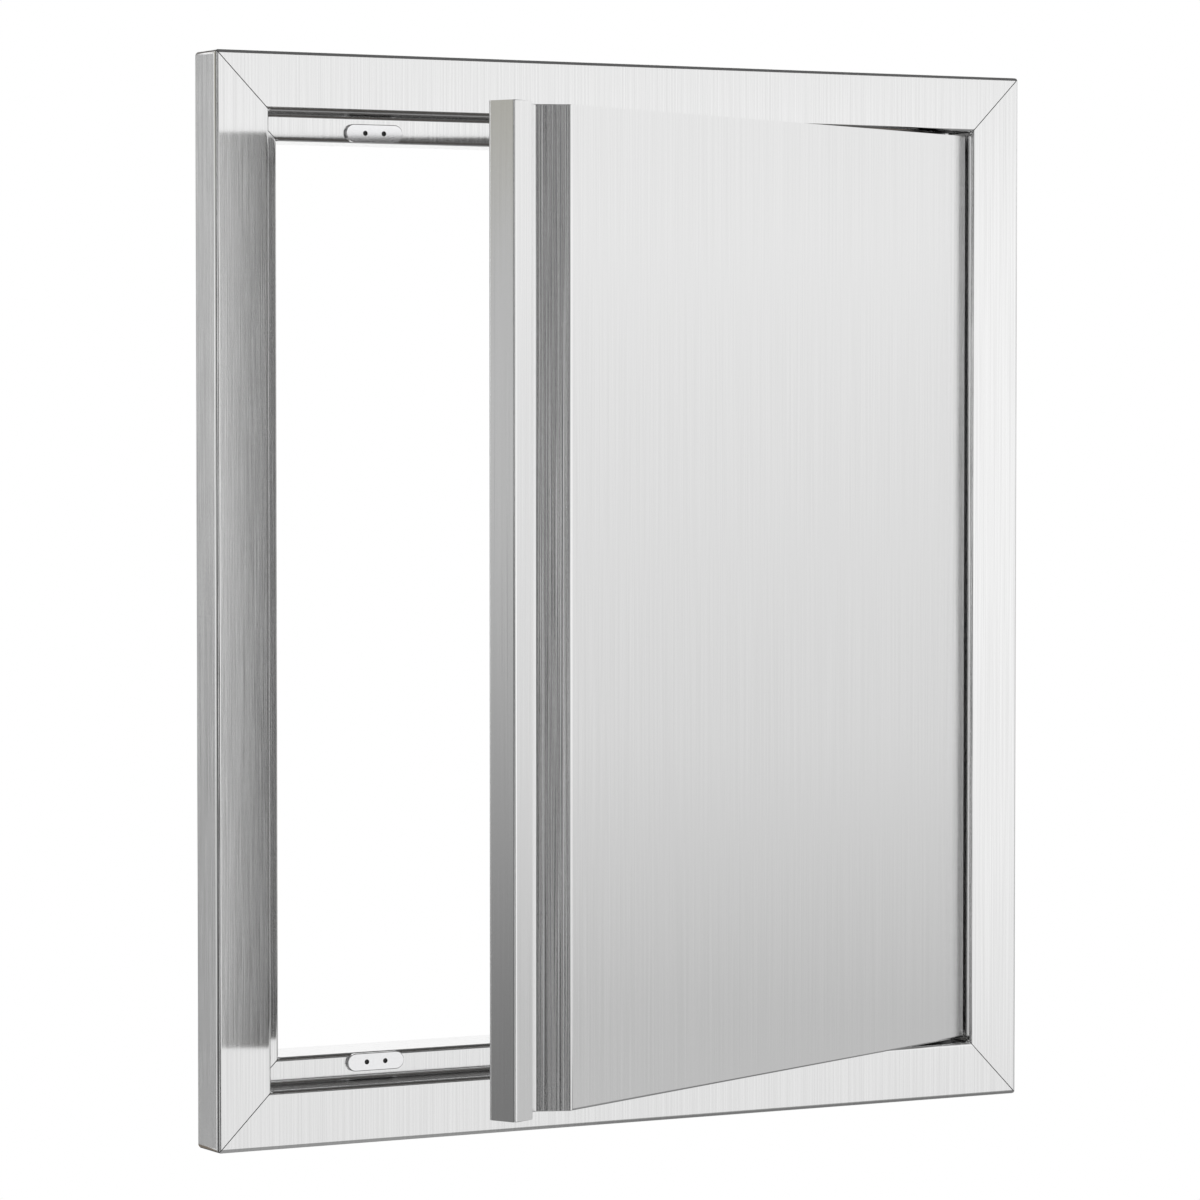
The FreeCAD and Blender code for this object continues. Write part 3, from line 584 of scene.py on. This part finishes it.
def speckled(name, colour, metallic, roughness, grain, contrast):
    """A plain finish with a fine mottle in its colour, gloss and relief."""
    material, tree, shader = new_finish(name, metallic)
    place = add_node(tree, "ShaderNodeTexCoord")
    noise = add_node(tree, "ShaderNodeTexNoise", Vector=place.outputs["Object"], Scale=1 / grain,
                     Detail=4.0)
    mottle = noise.outputs["Fac"]
    vary_colour(tree, mottle, shader, colour, contrast, margin=0.35)
    vary_gloss(tree, mottle, shader, least=roughness * 0.8, most=roughness * 1.2, margin=0.0)
    relief = raise_bump(tree, mottle, MOTTLE_HEIGHT, strength=0.1)
    set_inputs(tree, shader, Normal=relief.outputs["Normal"])
    return material


def ready_material(name):
    """The finish of that name, made the first time it is asked for."""
    if name in bpy.data.materials and bpy.data.materials[name].get("made_here"):
        return bpy.data.materials[name]
    make, finishes = (brushed_steel, BRUSHED) if name in BRUSHED else (speckled, SPECKLED)
    colour, *looks = finishes[name]
    material = make(name, getattr(bpy.context.scene.access_door_finishes, colour), *looks)
    material["made_here"] = True
    return material


class BuildFrameMembers(bpy.types.Operator):
    """Folds the four mitred members of the frame"""
    bl_idname = "access_door.frame_members"
    bl_label = "Frame members"

    def execute(self, context):
        sizes = context.scene.access_door_frame
        face = HALF_WIDTH - OPENING_X - sizes.ledge
        ledge_front = FRONT + sizes.rebate
        section = [
            (face + sizes.ledge, FLANGE_END),
            (face + sizes.ledge, ledge_front),
            (face, ledge_front),
            (face, FRONT),
            (0, FRONT),
            (0, 0),
        ]
        bends = (sizes.bend, sizes.ledge_bend, sizes.bend, sizes.bend)
        shift = sizes.mitre_gap / 2 * math.sqrt(2)
        for end, name in ((1, "frame_top_rail"), (-1, "frame_bottom_rail")):
            corners = [Vector((-HALF_WIDTH, y, end * (HALF_HEIGHT - across))) for across, y in section]
            rail = fold_sheet(name + "_sheet", corners, Vector((2 * HALF_WIDTH, 0, 0)),
                              Vector((0, 0, end)), sizes.sheet, bends)
            for side in (-1, 1):
                corner = Vector((side * (HALF_WIDTH - shift), 0, end * HALF_HEIGHT))
                slice_off(rail, corner, Vector((side, 0, -end)))
            tools = self.reliefs(sizes, face, ledge_front, rail=end) + self.rail_holes(sizes, end)
            combine(rail, tools, "DIFFERENCE")
            finish_sheet(rail, "frame", name, FRAME_FINISHES)
        for side, name in ((-1, "frame_latch_stile"), (1, "frame_hinge_stile")):
            corners = [Vector((side * (HALF_WIDTH - across), y, -HALF_HEIGHT)) for across, y in section]
            stile = fold_sheet(name + "_sheet", corners, Vector((0, 0, 2 * HALF_HEIGHT)),
                               Vector((side, 0, 0)), sizes.sheet, bends)
            for end in (-1, 1):
                corner = Vector((side * HALF_WIDTH, 0, end * (HALF_HEIGHT - shift)))
                slice_off(stile, corner, Vector((-side, 0, end)))
            tools = self.reliefs(sizes, face, ledge_front, stile=side)
            for step in (-1, 1):
                start = Vector((side * (OPENING_X - sizes.sheet), sizes.screw_depth,
                                step * sizes.screw_spacing / 2))
                reach = Vector((side * 3 * sizes.sheet, 0, 0))
                tools.append(add_rod(sizes.screw_hole, start, start + reach))
            combine(stile, tools, "DIFFERENCE")
            finish_sheet(stile, "frame", name, FRAME_FINISHES)
        return {"FINISHED"}

    def reliefs(self, sizes, face, ledge_front, rail=0, stile=0):
        """The notches at a member's ends, in the face and in the ledge, and the outer corners."""
        tools = []
        reach = sizes.sheet + sizes.bend
        for first in (-1, 1):
            side, end = stile or first, rail or first
            for x, y, z in ((HALF_WIDTH - face, FRONT, HALF_HEIGHT - face),
                            (OPENING_X, ledge_front, OPENING_Z)):
                tools.append(add_bore(sizes.relief, side * x, end * z, y - reach, y + reach, vertices=24))
            tools.append(self.corner_tool(sizes, side, end))
        return tools

    def corner_tool(self, sizes, side, end):
        """What is ground off one of the frame's outer corners."""
        centre_x, centre_z = side * (HALF_WIDTH - sizes.corner), end * (HALF_HEIGHT - sizes.corner)
        tool = add_block(Vector((centre_x, FRONT - OVERCUT, centre_z)),
                         Vector((side * (HALF_WIDTH + OVERCUT), OVERCUT, end * (HALF_HEIGHT + OVERCUT))))
        reach = 2 * OVERCUT - FRONT
        rod = add_bore(sizes.corner, centre_x, centre_z, -reach, reach, vertices=48)
        combine(tool, [rod], "DIFFERENCE")
        return tool

    def rail_holes(self, sizes, end):
        """The hole for the pivot and the holes for the catch's rivets."""
        low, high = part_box("upper_pivot_bush")
        radius = (high.x - low.x) / 2 - BUSH_RIM if end > 0 else FIXED_PIN_HOLE
        level = HALF_HEIGHT - (HALF_WIDTH - OPENING_X) + sizes.ledge
        start = Vector((PIVOT.x, PIVOT.y, end * (level - OVERCUT)))
        tools = [add_rod(radius, start, start + Vector((0, 0, end * THROUGH)))]
        for x, z in rivet_places("upper" if end > 0 else "lower"):
            tools.append(add_bore(CATCH_RIVET_HOLE, x, z, FRONT, BEHIND_LEDGE, vertices=24))
        return tools


def rivet_places(which):
    """The two rivets of a catch, as X and Z, from its rivets' box."""
    low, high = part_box(which + "_catch_rivets")
    radius = (high.z - low.z) / 2
    middle = (low.z + high.z) / 2
    return [(low.x + radius, middle), (high.x - radius, middle)]


def door_places(context):
    """The door's lines across its width and depth, shut, from its sizes."""
    door, opening = context.scene.access_door_door, context.scene.access_door_frame
    places = {"right": OPENING_X + opening.ledge - door.side_gap}
    places["left"] = -places["right"]
    places["back"] = FRONT + door.depth
    places["floor"] = places["back"] - door.sheet
    places["panel_left"] = places["left"] + door.lip + door.mouth
    places["floor_right"] = places["panel_left"] - (places["floor"] - FRONT) / math.tan(door.slope)
    return places


class BuildDoorSkin(bpy.types.Operator):
    """Folds the door's front skin with its finger recess and lip"""
    bl_idname = "access_door.door_skin"
    bl_label = "Door skin"

    def execute(self, context):
        sizes = context.scene.access_door_door
        at = door_places(context)
        lip_inside = FRONT - sizes.lip_proud + sizes.sheet
        hem_turn = at["left"] + sizes.lip - sizes.sheet
        hem_back = lip_inside + 2 * sizes.hem_bend
        section = [
            (at["right"], at["back"]),
            (at["right"], FRONT),
            (at["panel_left"], FRONT),
            (at["floor_right"], at["floor"]),
            (at["left"] + sizes.sheet, at["floor"]),
            (at["left"] + sizes.sheet, lip_inside),
            (hem_turn, lip_inside),
            (hem_turn, hem_back),
            (hem_turn - sizes.hem, hem_back),
        ]
        bends = (sizes.hem_bend, sizes.bend, sizes.bend, sizes.bend, sizes.lip_bend,
                 sizes.hem_bend, sizes.hem_bend)
        corners = [Vector((x, y, -DOOR_TOP)) for x, y in section]
        skin = fold_sheet("door_skin_sheet", corners, Vector((0, 0, 2 * DOOR_TOP)),
                          Vector((-1, 0, 0)), sizes.sheet, bends)
        for end in (-1, 1):
            self.add_return(skin, sizes, end, at)
            round_off(skin, at["panel_left"], at["right"] + sizes.sheet, FRONT, end * DOOR_TOP,
                      sizes.hem_bend + sizes.sheet, 1, -end)
            self.round_lip_corner(skin, sizes, end, at["left"] + sizes.lip)
        combine(skin, self.pivot_holes(sizes), "DIFFERENCE")
        self.soften_ends(skin, at["panel_left"])
        for face in skin.data.polygons:
            face.material_index = HIDDEN_SIDE if face.normal.y > LOOKS_BACK else SEEN_SIDE
        finish_sheet(skin, "door", "door_skin", SKIN_FINISHES, hung=True)
        return {"FINISHED"}

    def add_return(self, skin, sizes, end, at):
        """The return along the panel's top or bottom, trimmed to the recess's slope."""
        half = sizes.sheet / 2
        slope = sizes.slope

        def slope_x(y):
            return at["panel_left"] - (y - FRONT) / math.tan(slope) + half / math.sin(slope)

        flange = add_block(Vector((slope_x(at["back"]) - half, FRONT + half, end * DOOR_TOP)),
                           Vector((at["right"] - half, at["back"], end * (DOOR_TOP - sizes.sheet))))
        slice_off(flange, Vector((slope_x(FRONT), FRONT, 0)),
                  Vector((-math.sin(slope), -math.cos(slope), 0)))
        combine(skin, [flange], "UNION")

    def round_lip_corner(self, skin, sizes, end, lip_right):
        """Rounds the free corner of the lip and its hem."""
        front = FRONT - sizes.lip_proud - sizes.sheet
        back = FRONT + 2 * sizes.sheet
        centre_x, centre_z = lip_right - sizes.corner, end * (DOOR_TOP - sizes.corner)
        tool = add_block(Vector((centre_x, front, centre_z)),
                         Vector((lip_right + sizes.sheet, back, end * (DOOR_TOP + sizes.sheet))))
        rod = add_bore(sizes.corner, centre_x, centre_z, front - sizes.sheet, back + sizes.sheet)
        combine(tool, [rod], "DIFFERENCE")
        combine(skin, [tool], "DIFFERENCE")

    def soften_ends(self, skin, panel_left):
        """Rounds the cut edges at the top and bottom of the recess and the lip."""

        def shows(edge):
            at_end = all(abs(abs(vertex.co.z) - DOOR_TOP) < TOUCH and vertex.co.x < panel_left
                         for vertex in edge.verts)
            sharp = edge.is_manifold and edge.calc_face_angle() > CUT_CORNER
            return at_end and sharp and any(face.normal.y < LOOKS_FRONT for face in edge.link_faces)

        edit_edges(skin)
        select_edges(skin, shows)
        bpy.ops.mesh.bevel(offset=SOFTENING, segments=3, profile=0.5, affect="EDGES")
        leave_edit()

    def pivot_holes(self, sizes):
        """The upper hole clears the sprung pin and the lower one takes the bush."""
        tools = []
        for end, radius in ((1, SLIDING_PIN_HOLE), (-1, LOWER_BUSH_HOLE)):
            start = Vector((PIVOT.x, PIVOT.y, end * (DOOR_TOP + sizes.sheet)))
            tools.append(add_rod(radius, start, start - Vector((0, 0, end * 3 * sizes.sheet))))
        return tools


class BuildDoorLiner(bpy.types.Operator):
    """Folds the back sheet of the door, with the slot for the pin's pull"""
    bl_idname = "access_door.door_liner"
    bl_label = "Door liner"

    def execute(self, context):
        sizes = context.scene.access_door_door
        at = door_places(context)
        back = at["back"] + sizes.sheet
        left = at["floor_right"] - sizes.liner_overlap
        right = at["right"] - sizes.sheet
        top = DOOR_TOP - sizes.sheet
        flange_front = back - sizes.liner_flange
        corners = [Vector((x, y, -top)) for x, y in ((left, back), (right, back), (right, flange_front))]
        liner = fold_sheet("door_liner_sheet", corners, Vector((0, 0, 2 * top)), Vector((0, -1, 0)),
                           sizes.sheet, (sizes.hem_bend,), segments=4)
        for end in (-1, 1):
            start = Vector((at["panel_left"] + sizes.sheet, flange_front, end * top))
            flange = add_block(start, Vector((PIVOT.x - HINGE_ROOM, back - sizes.sheet / 2,
                                              end * (top - sizes.sheet))))
            combine(liner, [flange], "UNION")
            round_off(liner, left - sizes.sheet, right + sizes.sheet, back, end * top,
                      sizes.hem_bend + sizes.sheet, -1, -end)
        combine(liner, self.slot_tools(back) + self.rivet_tools(back), "DIFFERENCE")
        finish_sheet(liner, "door", "door_liner", ("mill_liner",), hung=True)
        return {"FINISHED"}

    def slot_tools(self, back):
        """The slot that the pull slides down in."""
        low, high = shut_box("pin_pull")
        radius = (high.z - low.z) / 2 + PULL_PLAY
        level = (low.z + high.z) / 2
        lowest = level - PULL_TRAVEL
        tools = [add_bore(radius, PIVOT.x, z, back - THROUGH, back + THROUGH) for z in (lowest, level)]
        tools.append(add_block(Vector((PIVOT.x - radius, back - THROUGH, lowest)),
                               Vector((PIVOT.x + radius, back + THROUGH, level))))
        return tools

    def rivet_tools(self, back):
        """The holes for the strike plates' rivets."""
        tools = []
        for which in ("upper", "lower"):
            low, high = shut_box(which + "_strike_plate")
            middle = (low + high) / 2
            for step in (-STRIKE_RIVET_STEP, STRIKE_RIVET_STEP):
                tools.append(add_bore(STRIKE_RIVET_HOLE, middle.x + step, middle.z,
                                      back - THROUGH, back + THROUGH, vertices=24))
        return tools


def shut_box(node):
    """The limits of a piece of the door with the door shut."""
    back = Matrix.Translation(PIVOT) @ Matrix.Rotation(-OPEN_ANGLE, 4, "Z") @ Matrix.Translation(-PIVOT)
    places = [back @ vertex.co for vertex in frame["nodes"][node].data.vertices]
    low = Vector([min(place[axis] for place in places) for axis in range(3)])
    high = Vector([max(place[axis] for place in places) for axis in range(3)])
    return low, high


class BuildCatchPlates(bpy.types.Operator):
    """Shapes the two catch plates with round ends, soft edges and rivet holes"""
    bl_idname = "access_door.catch_plates"
    bl_label = "Catch plates"

    def execute(self, context):
        for which in ("upper", "lower"):
            self.add_plate(which)
        return {"FINISHED"}

    def add_plate(self, which):
        """One end as half a disc, drawn out to the middle and mirrored."""
        node = which + "_catch_plate"
        low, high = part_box(node)
        middle = (low + high) / 2
        radius = (high.z - low.z) / 2
        reach = (high.x - low.x) / 2 - radius
        plate = add_rod(radius, Vector((reach, low.y, 0)), Vector((reach, high.y, 0)), vertices=64)
        plate.name = node + "_sheet"

        def at_cut(edge):
            return all(abs(vertex.co.x - reach) < TOUCH for vertex in edge.verts)

        def around_front(edge):
            at_front = all(abs(vertex.co.y - low.y) < TOUCH for vertex in edge.verts)
            return at_front and any(abs(face.normal.y) < IS_SIDE for face in edge.link_faces)

        edit_edges(plate, "SELECT")
        bpy.ops.mesh.bisect(plane_co=(reach, 0, 0), plane_no=(1, 0, 0), clear_inner=True, threshold=TOUCH)
        select_edges(plate, at_cut)
        bpy.ops.mesh.extrude_region_move(TRANSFORM_OT_translate={"value": (-reach, 0, 0)})
        leave_edit()
        apply_modifier(plate, "Other end", "MIRROR", use_axis=(True, False, False), use_clip=True,
                       merge_threshold=TOUCH)
        edit_edges(plate, "SELECT")
        bpy.ops.mesh.normals_make_consistent(inside=False)
        bpy.ops.mesh.select_all(action="DESELECT")
        select_edges(plate, around_front)
        bpy.ops.mesh.bevel(offset=SOFTENING, segments=4, profile=0.5, affect="EDGES")
        leave_edit()
        plate.location = (middle.x, 0, middle.z)
        settle(plate)
        holes = [add_bore(CATCH_RIVET_HOLE, x, z, low.y - OVERCUT, high.y + OVERCUT)
                 for x, z in rivet_places(which)]
        combine(plate, holes, "DIFFERENCE")
        finish_sheet(plate, "frame", node, ("satin_plate",))


class BuildPinSpring(bpy.types.Operator):
    """Winds the upper pin's spring as a fixed coil; the real one shortens as the pin is pulled down"""
    bl_idname = "access_door.pin_spring"
    bl_label = "Pin spring"

    def execute(self, context):
        sizes = context.scene.access_door_door
        wire = sizes.spring_wire
        low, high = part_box("pin_spring")
        foot, head = low.z + wire, high.z - wire
        bpy.ops.mesh.primitive_circle_add(vertices=12, radius=wire, rotation=(math.pi / 2, 0, 0),
                                          location=((high.x - low.x) / 2 - wire, 0, foot))
        spring = bpy.context.object
        spring.name = "pin_spring_coil"
        settle(spring)
        apply_modifier(spring, "Turns", "SCREW", axis="Z", iterations=sizes.spring_turns,
                       screw_offset=(head - foot) / sizes.spring_turns, steps=24, render_steps=24)
        edit_edges(spring, "SELECT")
        bpy.ops.mesh.fill_holes(sides=0)
        bpy.ops.mesh.normals_make_consistent(inside=False)
        leave_edit()
        spring.location = (PIVOT.x, PIVOT.y, 0)
        settle(spring)
        bpy.ops.object.shade_smooth_by_angle(angle=COIL_SMOOTHING)
        spring.data.materials.append(ready_material("bright_turned"))
        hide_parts("pin_spring")
        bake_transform(spring)
        return {"FINISHED"}


class FinishHardware(bpy.types.Operator):
    """Gives the gussets, pivots, pins, magnets and rivets their finishes"""
    bl_idname = "access_door.hardware"
    bl_label = "Hardware finishes"

    def execute(self, context):
        for name, node in frame["nodes"].items():
            if node.hide_render:
                continue
            finish = BY_NODE.get(name) or BY_SLOT[slot_of(name)]
            for place in node.material_slots:
                place.material = ready_material(finish)
        return {"FINISHED"}


class SetStudio(bpy.types.Operator):
    """Sets the camera, the lamps, the floor and the plain white surroundings"""
    bl_idname = "access_door.studio"
    bl_label = "Studio"

    def execute(self, context):
        self.set_camera(context.scene)
        self.set_world(context.scene)
        self.set_lamps()
        self.set_flags()
        self.set_floor()
        context.scene.view_settings.view_transform = "Standard"
        return {"FINISHED"}

    def set_camera(self, scene):
        """The photograph's camera."""
        data = bpy.data.cameras.new("photo_camera")
        data.lens = CAMERA_LENS
        data.sensor_width = SENSOR_WIDTH
        data.clip_start = 0.05
        camera = bpy.data.objects.new("photo_camera", data)
        camera.location = CAMERA_PLACE
        camera.rotation_euler = (math.pi / 2 - CAMERA_PITCH, 0, -CAMERA_YAW)
        scene.collection.objects.link(camera)
        scene.camera = camera

    def set_world(self, scene):
        """Surroundings that look white and give a softer light."""
        world = bpy.data.worlds.new("white_surroundings")
        world.use_nodes = True
        tree = world.node_tree
        tree.nodes.clear()
        rays = add_node(tree, "ShaderNodeLightPath")
        seen = rays.outputs["Is Camera Ray"]
        for ray in ("Is Glossy Ray", "Is Transmission Ray"):
            either = add_node(tree, "ShaderNodeMath")
            either.operation = "MAXIMUM"
            tree.links.new(seen, either.inputs[0])
            tree.links.new(rays.outputs[ray], either.inputs[1])
            seen = either.outputs[0]
        choose = add_node(tree, "ShaderNodeMixShader", Fac=seen)
        for socket, strength in ((1, SOFT_LIGHT), (2, 1.0)):
            light = add_node(tree, "ShaderNodeBackground", Color=WHITE, Strength=strength)
            tree.links.new(light.outputs[0], choose.inputs[socket])
        add_node(tree, "ShaderNodeOutputWorld", Surface=choose.outputs[0])
        scene.world = world

    def set_lamps(self):
        """Lamps that the steel doesn't mirror."""
        for name, (place, size, power) in LAMPS.items():
            data = bpy.data.lights.new(name, "AREA")
            data.size = size
            data.energy = power
            lamp = bpy.data.objects.new(name, data)
            lamp.location = place
            lamp.rotation_euler = (-Vector(place)).to_track_quat("-Z", "Y").to_euler()
            lamp.visible_glossy = False
            bpy.context.scene.collection.objects.link(lamp)

    def set_flags(self):
        """The upright and the level cards."""
        for name, (azimuth, spread, distance, *shades) in FLAGS.items():
            turn, half = math.radians(azimuth), math.radians(spread / 2)
            outwards = Vector((math.sin(turn), -math.cos(turn), 0))
            self.add_flag(name, outwards * distance, (math.pi / 2, 0, turn),
                          (2 * distance * math.tan(half), FLAG_HEIGHT), shades)
        for name, (x, y, height, shade) in LEVEL_FLAGS.items():
            self.add_flag(name, Vector((sum(x) / 2, sum(y) / 2, height)), (0, 0, 0),
                          (x[1] - x[0], y[1] - y[0]), ((0, shade), (1, shade)))

    def add_flag(self, name, place, rotation, size, shades):
        """A card that glows in its shades and shows only in mirrors."""
        deselect_all()
        bpy.ops.mesh.primitive_plane_add(size=1, location=place, rotation=rotation)
        flag = bpy.context.object
        flag.name = name
        flag.scale = (*size, 1)
        settle(flag)
        material = bpy.data.materials.new(name)
        material.use_nodes = True
        tree = material.node_tree
        tree.nodes.clear()
        place = add_node(tree, "ShaderNodeTexCoord")
        split = add_node(tree, "ShaderNodeSeparateXYZ", Vector=place.outputs["Object"])
        height = add_node(tree, "ShaderNodeMapRange", Value=split.outputs["Z"],
                          From_Min=-FLAG_HEIGHT / 2, From_Max=FLAG_HEIGHT / 2)
        ramp = add_node(tree, "ShaderNodeValToRGB", Fac=height.outputs["Result"])
        steps = ramp.color_ramp.elements
        while len(steps) < len(shades):
            steps.new(0.5)
        for step, (level, shade) in zip(steps, shades):
            step.position = level / FLAG_HEIGHT + 0.5
            step.color = (shade if isinstance(shade, tuple) else (shade,) * 3) + (1,)
        glow = add_node(tree, "ShaderNodeEmission", Color=ramp.outputs["Color"])
        add_node(tree, "ShaderNodeOutputMaterial", Surface=glow.outputs["Emission"])
        flag.data.materials.append(material)
        flag.visible_camera = False
        flag.visible_diffuse = False
        flag.visible_shadow = False
        flag.visible_transmission = False

    def set_floor(self):
        """A pale disc below the part."""
        deselect_all()
        bpy.ops.mesh.primitive_circle_add(vertices=96, radius=FLOOR_RADIUS, fill_type="NGON",
                                          location=(0, 0, FLOOR_HEIGHT))
        floor = bpy.context.object
        floor.name = "pale_floor"
        settle(floor)
        material, tree, shader = new_finish("pale_floor", metallic=0.0)
        set_inputs(tree, shader, Base_Color=FLOOR_COLOUR, Roughness=FLOOR_ROUGHNESS)
        floor.data.materials.append(material)


OPERATORS = (BuildFrameMembers, BuildDoorSkin, BuildDoorLiner, BuildCatchPlates, BuildPinSpring,
             FinishHardware, SetStudio)


class AccessDoorPanel(bpy.types.Panel):
    """Lists the steps in the sidebar"""
    bl_idname = "VIEW3D_PT_access_door"
    bl_label = "Access Door"
    bl_space_type = "VIEW_3D"
    bl_region_type = "UI"
    bl_category = "Access Door"

    def draw(self, context):
        for operator in OPERATORS:
            self.layout.operator(operator.bl_idname)


CLASSES = (FrameSizes, DoorSizes, Finishes) + OPERATORS + (AccessDoorPanel,)


def register():
    """Adds the sizes, the operators and the panel."""
    for item in CLASSES:
        bpy.utils.register_class(item)
    bpy.types.Scene.access_door_frame = PointerProperty(type=FrameSizes)
    bpy.types.Scene.access_door_door = PointerProperty(type=DoorSizes)
    bpy.types.Scene.access_door_finishes = PointerProperty(type=Finishes)


def unregister():
    """Takes away what register added."""
    del bpy.types.Scene.access_door_finishes
    del bpy.types.Scene.access_door_door
    del bpy.types.Scene.access_door_frame
    for item in reversed(CLASSES):
        bpy.utils.unregister_class(item)


def main():
    """Builds everything in order."""
    register()
    bpy.ops.access_door.frame_members()
    bpy.ops.access_door.door_skin()
    bpy.ops.access_door.door_liner()
    bpy.ops.access_door.catch_plates()
    bpy.ops.access_door.pin_spring()
    bpy.ops.access_door.hardware()
    bpy.ops.access_door.studio()


if __name__ == "__main__":
    main()
